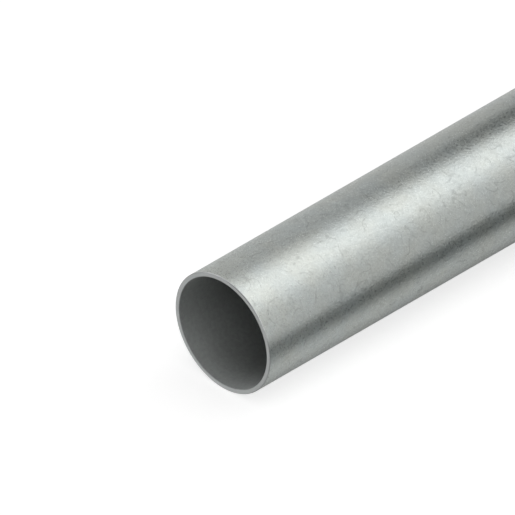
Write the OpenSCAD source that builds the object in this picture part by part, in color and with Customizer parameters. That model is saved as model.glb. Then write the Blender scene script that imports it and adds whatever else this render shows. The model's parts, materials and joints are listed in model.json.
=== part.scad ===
// Cable protection tube: one stock length of plain-ended, welded and zinc-coated steel conduit.
// It lies along X on the floor plane Z = 0, with the middle of its length over the origin.

/* [Tube] */
// Outside diameter of the conduit
outer_d = 32; // [16:1:63]
// Thickness of the rolled steel wall
wall_t = 1.2; // [0.8:0.1:3]
// Length of one stock tube
tube_length = 3000; // [500:50:6000]

/* [Ends] */
// Radius that dressing leaves on the outer edge of each end
outer_edge_r = 0.2; // [0.05:0.05:0.4]
// Width of the deburring chamfer at each mouth of the bore, which saves the cables from a sharp edge
bore_chamfer = 0.1; // [0.05:0.05:0.35]

/* [Hidden] */
outer_r = outer_d / 2;
bore_r = outer_r - wall_t;
$fn = 128;

// What dressing takes off the outer corner of the wall, with that corner at the origin
module outer_corner_trim() {
    translate([-outer_edge_r, -outer_edge_r])
        difference() {
            square(outer_edge_r);
            circle(r = outer_edge_r);
        }
}

// What deburring takes off the inner corner of the wall, with that corner at the origin
module bore_corner_trim() {
    polygon([[0, 0], [bore_chamfer, 0], [0, -bore_chamfer]]);
}

// The wall in section: X is the distance from the tube's axis, and Y runs along it
module wall_section() {
    difference() {
        translate([bore_r, -tube_length / 2])
            square([wall_t, tube_length]);
        for (side = [0, 1])
            mirror([0, side])
                translate([0, tube_length / 2]) {
                    translate([outer_r, 0])
                        outer_corner_trim();
                    translate([bore_r, 0])
                        bore_corner_trim();
                }
    }
}

// The section turned about the axis, laid along X and lifted to touch the floor plane
module tube() {
    color("silver")
        translate([0, 0, outer_r])
            rotate([0, 90, 0])
                rotate_extrude()
                    wall_section();
}

tube();
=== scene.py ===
import bpy
import bmesh
import json
import math
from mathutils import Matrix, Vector


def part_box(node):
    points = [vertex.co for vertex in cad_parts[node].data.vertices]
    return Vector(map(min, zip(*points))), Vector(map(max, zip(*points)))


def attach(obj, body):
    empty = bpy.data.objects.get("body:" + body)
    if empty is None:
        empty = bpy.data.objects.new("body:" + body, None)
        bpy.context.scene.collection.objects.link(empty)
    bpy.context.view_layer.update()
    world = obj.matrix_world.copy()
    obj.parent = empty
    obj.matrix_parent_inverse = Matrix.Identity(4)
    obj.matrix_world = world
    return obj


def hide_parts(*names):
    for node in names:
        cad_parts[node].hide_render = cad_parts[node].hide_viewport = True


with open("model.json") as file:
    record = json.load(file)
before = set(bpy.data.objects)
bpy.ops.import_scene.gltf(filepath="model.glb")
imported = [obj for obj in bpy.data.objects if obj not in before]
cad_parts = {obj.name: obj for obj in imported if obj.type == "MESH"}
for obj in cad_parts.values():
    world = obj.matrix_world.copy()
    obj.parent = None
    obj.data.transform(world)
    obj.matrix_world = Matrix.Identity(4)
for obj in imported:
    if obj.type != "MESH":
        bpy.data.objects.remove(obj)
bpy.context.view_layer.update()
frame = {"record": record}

# The conduit tube.
# Steel strip is rolled into a round, welded along its length and coated with zinc, then cut to a
# stock length. Its ends are square, with the outer edge dressed round and the bore deburred.
MM = 0.001
mounts = {mount["name"]: mount for mount in frame["record"]["mounts"]}
low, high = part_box("tube")
LENGTH = high.x - low.x
OUTER_R = mounts["outside"]["dims"]["r_mm"] * MM
BORE_R = mounts["cable_bore"]["dims"]["r_mm"] * MM
AXIS_Z = (low.z + high.z) / 2
# The straight stretches outside and inside end where the dressed edge and the chamfer begin.
EDGE_R = (LENGTH - mounts["outside"]["dims"]["length_mm"] * MM) / 2
CHAMFER = (LENGTH - mounts["cable_bore"]["dims"]["length_mm"] * MM) / 2
WALL_R = (OUTER_R + BORE_R) / 2
# Faces round the tube, stretches along it that its map needs, and faces across the dressed edge.
SIDES = 192
STRETCHES = 30
EDGE_STEPS = 4
CREASE = math.radians(30)


def from_axis(place):
    """How far a place lies from the tube's axis."""
    return math.hypot(place.y, place.z - AXIS_Z)


def select_edges(mesh, wanted):
    """Selects just the edges whose middle is wanted, in edit mode."""
    bpy.ops.mesh.select_all(action="DESELECT")
    form = bmesh.from_edit_mesh(mesh)
    for edge in form.edges:
        first, last = (vertex.co for vertex in edge.verts)
        edge.select_set(wanted((first + last) / 2))
    bmesh.update_edit_mesh(mesh)


def at_end(middle):
    """True for a place right at one of the two ends."""
    return abs(middle.x) > LENGTH / 2 - CHAMFER / 2


bpy.ops.object.select_all(action="DESELECT")
bpy.ops.mesh.primitive_cylinder_add(
    vertices=SIDES,
    radius=OUTER_R,
    depth=LENGTH,
    end_fill_type="NOTHING",
    location=(0, 0, AXIS_Z),
    rotation=(0, math.pi / 2, 0),
)
conduit = bpy.context.object
conduit.name = conduit.data.name = "conduit"
bpy.ops.object.transform_apply(location=True, rotation=True, scale=True)
wall = conduit.modifiers.new("rolled wall", "SOLIDIFY")
wall.thickness = OUTER_R - BORE_R
wall.offset = -1
wall.use_even_offset = True
bpy.ops.object.modifier_apply(modifier=wall.name)

skin = conduit.data
bpy.ops.object.mode_set(mode="EDIT")
bpy.ops.mesh.select_mode(type="EDGE")
select_edges(skin, lambda middle: at_end(middle) and from_axis(middle) > OUTER_R - EDGE_R / 2)
bpy.ops.mesh.bevel(offset=EDGE_R, segments=EDGE_STEPS, profile=0.5, affect="EDGES")
select_edges(skin, lambda middle: at_end(middle) and from_axis(middle) < BORE_R + CHAMFER / 2)
bpy.ops.mesh.bevel(offset=CHAMFER, segments=1, affect="EDGES")
select_edges(skin, lambda middle: abs(middle.x) < EDGE_R)
bpy.ops.mesh.subdivide(number_cuts=STRETCHES - 1)
bpy.ops.mesh.select_all(action="SELECT")
bpy.ops.mesh.normals_make_consistent(inside=False)
bpy.ops.object.mode_set(mode="OBJECT")
bpy.ops.object.shade_smooth_by_angle(angle=CREASE)

# Its map for baking: the skin of each stretch, outside and in, is unrolled into a square of
# its own, so that the grain comes out as fine along the tube as round it. The ends take two more.
SQUARES_A_ROW = 8
SQUARE_MARGIN = 0.03
EDGE_FACING = 0.1


def round_axis(place):
    """How far round the tube a place lies, as a share of the whole turn."""
    return math.atan2(place.y, place.z - AXIS_Z) / math.tau


def at_cut(face):
    """True for the faces of the two ends, those of their dressed edges included."""
    return abs(face.normal.x) > EDGE_FACING


layout = skin.uv_layers[0]
layout.name = "OFBake"
for face in skin.polygons:
    middle_turn = round_axis(face.center)
    stretch = int((face.center.x / LENGTH + 0.5) * STRETCHES)
    if at_cut(face):
        square = 2 * STRETCHES + int(face.center.x > 0)
    elif from_axis(face.center) > WALL_R:
        square = stretch
    else:
        square = STRETCHES + stretch
    row, column = divmod(square, SQUARES_A_ROW)
    for corner in face.loop_indices:
        spot = skin.vertices[skin.loops[corner].vertex_index].co
        step = round_axis(spot) - middle_turn
        u = middle_turn + step - round(step) + 0.5
        if at_cut(face):
            sunk = LENGTH / 2 - abs(spot.x)
            over = from_axis(spot) - BORE_R + (sunk if from_axis(spot) > WALL_R else -sunk)
            v = (over + CHAMFER) / (OUTER_R - BORE_R + EDGE_R + CHAMFER)
        else:
            v = (spot.x / LENGTH + 0.5) * STRETCHES - stretch
        u, v = (SQUARE_MARGIN + (1 - 2 * SQUARE_MARGIN) * share for share in (u, v))
        layout.data[corner].uv = ((column + u) / SQUARES_A_ROW, (row + v) / SQUARES_A_ROW)


def linear(hex_colour):
    """An sRGB colour such as "#C8CCCA" as the linear one that a shader takes."""
    parts = [int(hex_colour[i : i + 2], 16) / 255 for i in (1, 3, 5)]
    return tuple(p / 12.92 if p <= 0.04045 else ((p + 0.055) / 1.055) ** 2.4 for p in parts) + (1.0,)


def add(tree, kind, settings=None, feeds=None):
    """Adds a node with its settings. feeds gives each input a value or another node's output."""
    node = tree.nodes.new(kind)
    for name, value in (settings or {}).items():
        setattr(node, name, value)
    for name, value in (feeds or {}).items():
        if isinstance(value, bpy.types.NodeSocket):
            tree.links.new(value, node.inputs[name])
        else:
            node.inputs[name].default_value = value
    return node


def new_material(name):
    """A material of that name with no nodes in it yet."""
    material = bpy.data.materials.new(name)
    material.use_nodes = True
    material.node_tree.nodes.clear()
    return material


# Zinc skin, dipped and wiped. It gives the eye a fine patchy grain, lighter or darker and more or less
# matt from spot to spot, over faint crystals about a millimetre across. It has pin-sized dark flecks,
# short curly hairlines from handling, a tint that drifts from cool to warm, and a ripple in its relief.
GRIT_MM = 0.45
RIPPLE_MM = 0.7
CRYSTAL_MM = 0.9
GRAIN_MM = 2.5
CLOUD_MM = 3.5
HAIRLINE_MM = 5.0
PATCH_MM = 9.0
RAGGEDNESS = 0.6
NOISE_MIDDLE = 0.5
HAIRLINE_LEVEL = 0.55
HAIRLINE_WIDTH = 0.035
RIPPLE_WEIGHT = 8.0
RELIEF_MM = 0.005
zinc = new_material("galvanised steel, wiped zinc skin")
tree = zinc.node_tree
place = add(tree, "ShaderNodeTexCoord").outputs["Object"]
grit = add(tree, "ShaderNodeTexNoise", feeds={
    "Vector": place, "Scale": 1 / (GRIT_MM * MM), "Detail": 2.0, "Roughness": 0.8, "Distortion": 0.5})
# The grit pushes the crystals' outlines about, so that they come out ragged.
wander = add(tree, "ShaderNodeVectorMath", {"operation": "MULTIPLY_ADD"}, {
    0: grit.outputs["Color"], 1: (RAGGEDNESS * GRIT_MM * MM,) * 3, 2: place})
crystal = add(tree, "ShaderNodeTexVoronoi", feeds={
    "Vector": wander.outputs[0], "Scale": 1 / (CRYSTAL_MM * MM)})
facet = add(tree, "ShaderNodeSeparateXYZ", feeds={0: crystal.outputs["Color"]})
cloud = add(tree, "ShaderNodeTexNoise", feeds={
    "Vector": place, "Scale": 1 / (CLOUD_MM * MM), "Detail": 1.0, "Roughness": 0.6}).outputs["Fac"]
patch = add(tree, "ShaderNodeTexNoise", feeds={
    "Vector": place, "Scale": 1 / (PATCH_MM * MM), "Detail": 2.0, "Roughness": 0.6}).outputs["Fac"]
grain = add(tree, "ShaderNodeTexNoise", feeds={
    "Vector": place, "Scale": 1 / (GRAIN_MM * MM), "Detail": 1.0, "Roughness": 0.5}).outputs["Fac"]
# A hairline follows one level of a curly noise, and it breaks off where the grain is low.
curl = add(tree, "ShaderNodeTexNoise", feeds={
    "Vector": place, "Scale": 1 / (HAIRLINE_MM * MM), "Detail": 0.0, "Distortion": 0.8}).outputs["Fac"]
offset = add(tree, "ShaderNodeMath", {"operation": "SUBTRACT"}, {0: curl, 1: HAIRLINE_LEVEL})
ridge = add(tree, "ShaderNodeMath", {"operation": "ABSOLUTE"}, {0: offset.outputs[0]})
line = add(tree, "ShaderNodeMapRange", feeds={
    "Value": ridge.outputs[0], "From Min": 0.0, "From Max": HAIRLINE_WIDTH, "To Min": 1.0, "To Max": 0.0})
where = add(tree, "ShaderNodeMapRange", feeds={
    "Value": grain, "From Min": 0.49, "From Max": 0.53, "To Min": 0.0, "To Max": 1.0})
hairline = add(tree, "ShaderNodeMath", {"operation": "MULTIPLY"}, {
    0: line.outputs[0], 1: where.outputs[0]})
# Crystals, grit, clouds, flecks and hairlines each make the colour lighter or darker by a share.
facet_shade = add(tree, "ShaderNodeMapRange", feeds={
    "Value": facet.outputs["X"], "From Min": 0.0, "From Max": 1.0, "To Min": 0.96, "To Max": 1.04})
depth = add(tree, "ShaderNodeMapRange", feeds={
    "Value": grain, "From Min": 0.35, "From Max": 0.65, "To Min": 0.2, "To Max": 0.66})
grit_offset = add(tree, "ShaderNodeMath", {"operation": "SUBTRACT"}, {
    0: grit.outputs["Fac"], 1: NOISE_MIDDLE})
grit_shade = add(tree, "ShaderNodeMath", {"operation": "MULTIPLY_ADD"}, {
    0: grit_offset.outputs[0], 1: depth.outputs[0], 2: 1.0})
cloud_shade = add(tree, "ShaderNodeMapRange", feeds={
    "Value": cloud, "From Min": 0.25, "From Max": 0.75, "To Min": 0.975, "To Max": 1.025})
fleck_shade = add(tree, "ShaderNodeMapRange", feeds={
    "Value": facet.outputs["Y"], "From Min": 0.95, "From Max": 0.96, "To Min": 1.0, "To Max": 0.95})
mark_shade = add(tree, "ShaderNodeMapRange", feeds={
    "Value": hairline.outputs[0], "From Min": 0.0, "From Max": 1.0, "To Min": 1.0, "To Max": 0.80})
shade = facet_shade.outputs[0]
for other in (grit_shade, cloud_shade, fleck_shade, mark_shade):
    product = add(tree, "ShaderNodeMath", {"operation": "MULTIPLY"}, {0: shade, 1: other.outputs[0]})
    shade = product.outputs[0]
warmth = add(tree, "ShaderNodeMapRange", feeds={
    "Value": patch, "From Min": 0.35, "From Max": 0.65, "To Min": 0.0, "To Max": 1.0})
hue = add(tree, "ShaderNodeMix", {"data_type": "RGBA"}, {
    "Factor": warmth.outputs[0], "A": linear("#C9CFCD"), "B": linear("#CBCFCA")})
colour = add(tree, "ShaderNodeVectorMath", {"operation": "SCALE"}, {
    0: hue.outputs["Result"], "Scale": shade})
# The grit's second channel says how matt a spot is, so that it doesn't go with how light it is.
sheen = add(tree, "ShaderNodeSeparateXYZ", feeds={0: grit.outputs["Color"]})
polish = add(tree, "ShaderNodeMapRange", feeds={
    "Value": sheen.outputs["Y"], "From Min": 0.3, "From Max": 0.7, "To Min": 0.23, "To Max": 0.42})
ripple = add(tree, "ShaderNodeTexNoise", feeds={
    "Vector": place, "Scale": 1 / (RIPPLE_MM * MM), "Detail": 1.0, "Roughness": 0.5}).outputs["Fac"]
height = add(tree, "ShaderNodeMath", {"operation": "MULTIPLY_ADD"}, {
    0: ripple, 1: RIPPLE_WEIGHT, 2: grit.outputs["Fac"]})
relief = add(tree, "ShaderNodeBump", feeds={
    "Strength": 1.0, "Distance": RELIEF_MM * MM, "Height": height.outputs[0]})
shader = add(tree, "ShaderNodeBsdfPrincipled", feeds={
    "Base Color": colour.outputs[0],
    "Metallic": 1.0,
    "Roughness": polish.outputs[0],
    "Normal": relief.outputs[0],
})
add(tree, "ShaderNodeOutputMaterial", feeds={"Surface": shader.outputs[0]})

# Cut end, dressed with a turning brush: an even satin grey with faint rings round the bore. The marks
# are drawn 0.25 mm apart, coarser than real ones, so that they show.
BRUSH_MM = 0.25
BRUSH_RELIEF_MM = 0.002
cut = new_material("galvanised steel, brushed cut end")
tree = cut.node_tree
spot = add(tree, "ShaderNodeSeparateXYZ", feeds={0: add(tree, "ShaderNodeTexCoord").outputs["Object"]})
lifted = add(tree, "ShaderNodeMath", {"operation": "SUBTRACT"}, {0: spot.outputs["Z"], 1: AXIS_Z})
flat = add(tree, "ShaderNodeCombineXYZ", feeds={"X": spot.outputs["Y"], "Y": lifted.outputs[0]})
radius = add(tree, "ShaderNodeVectorMath", {"operation": "LENGTH"}, {0: flat.outputs[0]})
rings = add(tree, "ShaderNodeTexNoise", {"noise_dimensions": "1D"}, {
    "W": radius.outputs["Value"],
    "Scale": 1 / (BRUSH_MM * MM),
    "Detail": 1.0,
    "Roughness": 0.6,
}).outputs["Fac"]
smear = add(tree, "ShaderNodeTexNoise", feeds={
    "Vector": flat.outputs[0],
    "Scale": 1 / (CLOUD_MM * MM),
    "Detail": 2.0,
    "Roughness": 0.6,
}).outputs["Fac"]
marks = add(tree, "ShaderNodeMath", {"operation": "ADD"}, {0: rings, 1: smear})
shade = add(tree, "ShaderNodeMapRange", feeds={
    "Value": marks.outputs[0], "From Min": 0.6, "From Max": 1.4, "To Min": 0.93, "To Max": 1.07})
colour = add(tree, "ShaderNodeVectorMath", {"operation": "SCALE"}, {
    0: linear("#C2C5C4")[:3], "Scale": shade.outputs[0]})
polish = add(tree, "ShaderNodeMapRange", feeds={
    "Value": smear, "From Min": 0.3, "From Max": 0.7, "To Min": 0.36, "To Max": 0.44})
relief = add(tree, "ShaderNodeBump", feeds={
    "Strength": 1.0, "Distance": BRUSH_RELIEF_MM * MM, "Height": rings})
shader = add(tree, "ShaderNodeBsdfPrincipled", feeds={
    "Base Color": colour.outputs[0],
    "Metallic": 1.0,
    "Roughness": polish.outputs[0],
    "Normal": relief.outputs[0],
})
add(tree, "ShaderNodeOutputMaterial", feeds={"Surface": shader.outputs[0]})

# The two edges of the cut, the round one outside and the chamfer in the bore. The brush and the reamer
# have rubbed the zinc off, so bare steel shows there, a little darker than the skin.
edge = new_material("steel, burnished edge of the cut")
tree = edge.node_tree
place = add(tree, "ShaderNodeTexCoord").outputs["Object"]
bare = add(tree, "ShaderNodeTexNoise", feeds={
    "Vector": place, "Scale": 1 / (CLOUD_MM * MM), "Detail": 2.0, "Roughness": 0.6}).outputs["Fac"]
hue = add(tree, "ShaderNodeMix", {"data_type": "RGBA"}, {
    "Factor": bare, "A": linear("#9B9D9D"), "B": linear("#AFB1B1")})
shader = add(tree, "ShaderNodeBsdfPrincipled", feeds={
    "Base Color": hue.outputs["Result"], "Metallic": 1.0, "Roughness": 0.35})
add(tree, "ShaderNodeOutputMaterial", feeds={"Surface": shader.outputs[0]})

# Bore: the zinc inside is left as it set and is never wiped, so it looks dull and softly mottled,
# darker than the skin outside.
bore = new_material("galvanised steel, dull bore")
tree = bore.node_tree
place = add(tree, "ShaderNodeTexCoord").outputs["Object"]
mottle = add(tree, "ShaderNodeTexNoise", feeds={
    "Vector": place, "Scale": 1 / (CRYSTAL_MM * MM), "Detail": 2.0, "Roughness": 0.7}).outputs["Fac"]
hue = add(tree, "ShaderNodeMix", {"data_type": "RGBA"}, {
    "Factor": mottle, "A": linear("#999C9B"), "B": linear("#B1B4B3")})
polish = add(tree, "ShaderNodeMapRange", feeds={
    "Value": mottle, "From Min": 0.3, "From Max": 0.7, "To Min": 0.64, "To Max": 0.56})
shader = add(tree, "ShaderNodeBsdfPrincipled", feeds={
    "Base Color": hue.outputs["Result"], "Metallic": 1.0, "Roughness": polish.outputs[0]})
add(tree, "ShaderNodeOutputMaterial", feeds={"Surface": shader.outputs[0]})

# The skin outside takes the first finish. The cut faces, their edges and the bore have their own.
CUT_FACING = 0.99
finishes = [zinc, cut, edge, bore]
for finish in finishes:
    skin.materials.append(finish)
for face in skin.polygons:
    if abs(face.normal.x) > CUT_FACING:
        face.material_index = finishes.index(cut)
    elif at_cut(face):
        face.material_index = finishes.index(edge)
    elif from_axis(face.center) < WALL_R:
        face.material_index = finishes.index(bore)

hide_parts("tube")
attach(conduit, "root")

# The floor.
# The tube lies on a plain pale matt board, which is much larger than the tube is long. The board takes
# its shadow, and glows up to white for the camera, and partly so for what metal mirrors.
FLOOR_SIDE = 12.0
FLOOR_LIFT = 0.72
FLOOR_MIRRORED = 0.40


def sees_white(tree, mirrored):
    """Says how much white a ray gets: all of it for what the camera sees, straight or through glass,
    and the share mirrored for what metal shows."""
    path = add(tree, "ShaderNodeLightPath")
    part = add(tree, "ShaderNodeMath", {"operation": "MULTIPLY"}, {
        0: path.outputs["Is Glossy Ray"], 1: mirrored})
    direct = add(tree, "ShaderNodeMath", {"operation": "ADD"}, {
        0: path.outputs["Is Camera Ray"], 1: path.outputs["Is Transmission Ray"]})
    whole = add(tree, "ShaderNodeMath", {"operation": "ADD"}, {0: direct.outputs[0], 1: part.outputs[0]})
    return whole.outputs[0]


bpy.ops.object.select_all(action="DESELECT")
bpy.ops.mesh.primitive_plane_add(size=FLOOR_SIDE, location=(0, 0, low.z))
floor = bpy.context.object
floor.name = "floor"
pale = new_material("matt pale board")
pale.cycles.emission_sampling = "NONE"
tree = pale.node_tree
board = add(tree, "ShaderNodeBsdfDiffuse", feeds={"Color": linear("#ADADAD")})
lift = add(tree, "ShaderNodeMath", {"operation": "MULTIPLY"}, {
    0: sees_white(tree, FLOOR_MIRRORED), 1: FLOOR_LIFT})
glow = add(tree, "ShaderNodeEmission", feeds={"Strength": lift.outputs[0]})
both = add(tree, "ShaderNodeAddShader", feeds={0: board.outputs[0], 1: glow.outputs[0]})
add(tree, "ShaderNodeOutputMaterial", feeds={"Surface": both.outputs[0]})
floor.data.materials.append(pale)

# Cards beside the tube, which only metal sees.
# A photographer hangs such cards round a tube. These glow with a fixed tone of their own instead of being
# lit, so each is a painted reflection: black ones with soft edges paint the dark lines that make it look
# round and keep its mouth deep, a pale one at its foot paints the light on the cut end, and two bright
# ones paint the light on the walls of the bore.
EVEN_COVER = [(0.0, 1.0), (1.0, 1.0)]


def set_ramp(ramp, stops):
    """Gives a colour ramp its stops, each a place from 0 to 1 and a grey level."""
    while len(ramp.elements) < len(stops):
        ramp.elements.new(0.5)
    for element, (spot, level) in zip(ramp.elements, stops):
        element.position = spot
        element.color = (level, level, level, 1)


def hang_card(name, corner, along, across, fade, cover, tone, light=1.0):
    """A card with one corner and two edges given. It fades in over a length of its edge along, and cover
    says how dense it is over its edge across."""
    bpy.ops.object.select_all(action="DESELECT")
    bpy.ops.mesh.primitive_plane_add(size=1.0)
    card = bpy.context.object
    card.name = name
    for vertex in card.data.vertices:
        u = vertex.co.x + 0.5
        v = vertex.co.y + 0.5
        vertex.co = Vector(corner) + u * Vector(along) + v * Vector(across)
    glowing_card = new_material("glowing reflection card for the " + name)
    glowing_card.cycles.emission_sampling = "NONE"
    tree = glowing_card.node_tree
    spot = add(tree, "ShaderNodeSeparateXYZ", feeds={0: add(tree, "ShaderNodeTexCoord").outputs["UV"]})
    density = add(tree, "ShaderNodeValToRGB", feeds={"Fac": spot.outputs["Y"]})
    density.color_ramp.interpolation = "EASE"
    set_ramp(density.color_ramp, cover)
    start = add(tree, "ShaderNodeMapRange", {"interpolation_type": "SMOOTHSTEP"}, {
        "Value": spot.outputs["X"],
        "From Min": 0.0,
        "From Max": fade / Vector(along).length,
        "To Min": 0.0,
        "To Max": 1.0,
    })
    dense = add(tree, "ShaderNodeMath", {"operation": "MULTIPLY"}, {
        0: density.outputs["Color"], 1: start.outputs[0]})
    clear = add(tree, "ShaderNodeBsdfTransparent")
    # Whatever falls on it, a card shows its tone at the strength light. That is a painted reflection that
    # only metal shows: dark for the black cards, and a painted highlight for the pale and bright ones.
    sheet = add(tree, "ShaderNodeEmission", feeds={"Color": linear(tone), "Strength": light})
    both = add(tree, "ShaderNodeMixShader", feeds={
        0: dense.outputs[0], 1: clear.outputs[0], 2: sheet.outputs[0]})
    add(tree, "ShaderNodeOutputMaterial", feeds={"Surface": both.outputs[0]})
    card.data.materials.append(glowing_card)
    card.visible_camera = card.visible_diffuse = card.visible_shadow = card.visible_transmission = False


# On the floor before the tube, for the dark line along its lower front.
hang_card(
    "front_flag",
    corner=(low.x - 0.25, -0.008, 0.0005),
    along=(LENGTH + 1.25, 0, 0),
    across=(0, -0.167, 0),
    fade=0.35,
    cover=[(0.0, 0.45), (0.03, 0.06), (0.085, 0.11), (0.21, 0.89), (0.45, 0.90), (1.0, 0.0)],
    tone="#1A2625",
)
# Under the tube, for the shade along its lowest strip.
hang_card(
    "under_flag",
    corner=(low.x + 0.001, -0.003, 0.0006),
    along=(LENGTH, 0, 0),
    across=(0, -0.016, 0),
    fade=0.002,
    cover=[(0.0, 0.35), (0.48, 0.23), (0.71, 0.18), (1.0, 0.0)],
    tone="#1E1E1E",
)
# Slanting above the back of the tube, for the dark line along its upper back.
hang_card(
    "back_flag",
    corner=(low.x + 0.16, 0.1985, 0.129),
    along=(LENGTH + 0.84, 0, 0),
    across=(0, -0.1575, 0.113),
    fade=0.08,
    cover=[(0.0, 0.0), (0.35, 1.0), (0.65, 1.0), (1.0, 0.0)],
    tone="#1A2625",
)
# On the floor before the mouth: a pale one, and a black one that stands at its far edge.
hang_card(
    "foot_card",
    corner=(low.x - 0.12, -0.05, 0.00005),
    along=(0.1199, 0, 0),
    across=(0, 0.17, 0),
    fade=0.002,
    cover=EVEN_COVER,
    tone="#CFCFCF",
)
hang_card(
    "mouth_flag",
    corner=(low.x - 0.12, -0.16, 0.001),
    along=(0, 0.22, 0),
    across=(0, 0, 0.16),
    fade=0.04,
    cover=[(0.0, 1.0), (0.7, 1.0), (1.0, 0.0)],
    tone="#1E1E1E",
)
# Bright glowing ones on either side before the mouth, which paint the light on the walls of the bore as a
# reflection.
hang_card(
    "back_fill",
    corner=(low.x - 0.05, 0.114, 0.053),
    along=(0.041, 0, 0),
    across=(0, -0.089, 0.080),
    fade=0.012,
    cover=EVEN_COVER,
    tone="#FFFFFF",
    light=4.6,
)
hang_card(
    "front_fill",
    corner=(low.x - 0.11, -0.074, 0.11),
    along=(0.097, 0, 0),
    across=(0, -0.045, -0.078),
    fade=0.012,
    cover=EVEN_COVER,
    tone="#FFFFFF",
    light=3.8,
)

# Studio light.
# It is one soft surround, with no lamp in it. Its level changes only with the direction round the tube,
# so the light and dark bands that it draws run straight along. The camera itself sees plain white.
WHITE_MIRRORED = 0.25
# How light metal sees it, from the tube's back at 0 over its top to its front at 1. The white that metal
# sees in all directions is part of each level, and it is taken off again for the ramp.
SEEN_LEVELS = [
    (0.0, 0.56), (0.06, 0.54), (0.17, 0.53), (0.24, 0.46), (0.30, 0.42),
    (0.36, 0.61), (0.42, 0.89), (0.49, 1.29), (0.6, 1.37), (0.66, 1.15),
    (0.72, 0.87), (0.8, 0.63), (0.87, 0.60), (0.94, 0.61), (1.0, 0.55),
]
world = bpy.data.worlds.new("studio")
bpy.context.scene.world = world
world.use_nodes = True
tree = world.node_tree
tree.nodes.clear()
way = add(tree, "ShaderNodeTexCoord")
parts = add(tree, "ShaderNodeSeparateXYZ", feeds={0: way.outputs["Generated"]})
turn = add(tree, "ShaderNodeMath", {"operation": "ARCTAN2"}, {
    0: parts.outputs["Z"], 1: parts.outputs["Y"]})
share = add(tree, "ShaderNodeMath", {"operation": "DIVIDE"}, {0: turn.outputs[0], 1: math.pi})
ramp = add(tree, "ShaderNodeValToRGB", feeds={"Fac": share.outputs[0]})
ramp.color_ramp.interpolation = "LINEAR"
set_ramp(
    ramp.color_ramp,
    [(spot, (level - WHITE_MIRRORED) / (1 - WHITE_MIRRORED)) for spot, level in SEEN_LEVELS],
)
studio = add(tree, "ShaderNodeBackground", feeds={"Color": ramp.outputs["Color"], "Strength": 1.0})
white = add(tree, "ShaderNodeBackground", feeds={"Color": (1, 1, 1, 1), "Strength": 1.0})
seen = add(tree, "ShaderNodeMixShader", feeds={
    0: sees_white(tree, WHITE_MIRRORED), 1: studio.outputs[0], 2: white.outputs[0]})
add(tree, "ShaderNodeOutputWorld", feeds={"Surface": seen.outputs[0]})

# The camera.
# It looks down on the mouth from the photograph's angle and without perspective. The middle of the
# mouth and the tube's radius, in pixels of the photograph, say where it looks and how large a frame is.
PHOTO_PX = 515
MOUTH_PX = Vector((222.7, 333.3))
TUBE_R_PX = 66.97
AZIMUTH = math.radians(-45.05)
ELEVATION = math.radians(35.03)
CAMERA_DISTANCE = 2.0
back = Vector((
    math.sin(AZIMUTH) * math.cos(ELEVATION),
    -math.cos(AZIMUTH) * math.cos(ELEVATION),
    math.sin(ELEVATION),
))
right = Vector((math.cos(AZIMUTH), math.sin(AZIMUTH), 0))
up = back.cross(right)
metres_per_px = OUTER_R / TUBE_R_PX
mouth = Vector((low.x, 0, AXIS_Z))
offset = (Vector((PHOTO_PX / 2, PHOTO_PX / 2)) - MOUTH_PX) * metres_per_px
camera_data = bpy.data.cameras.new("camera")
camera_data.type = "ORTHO"
camera_data.ortho_scale = PHOTO_PX * metres_per_px
camera = bpy.data.objects.new("camera", camera_data)
bpy.context.scene.collection.objects.link(camera)
camera.location = mouth + right * offset.x - up * offset.y + back * CAMERA_DISTANCE
camera.rotation_euler = (math.pi / 2 - ELEVATION, 0, AZIMUTH)
bpy.context.scene.camera = camera
bpy.context.scene.view_settings.view_transform = "Standard"
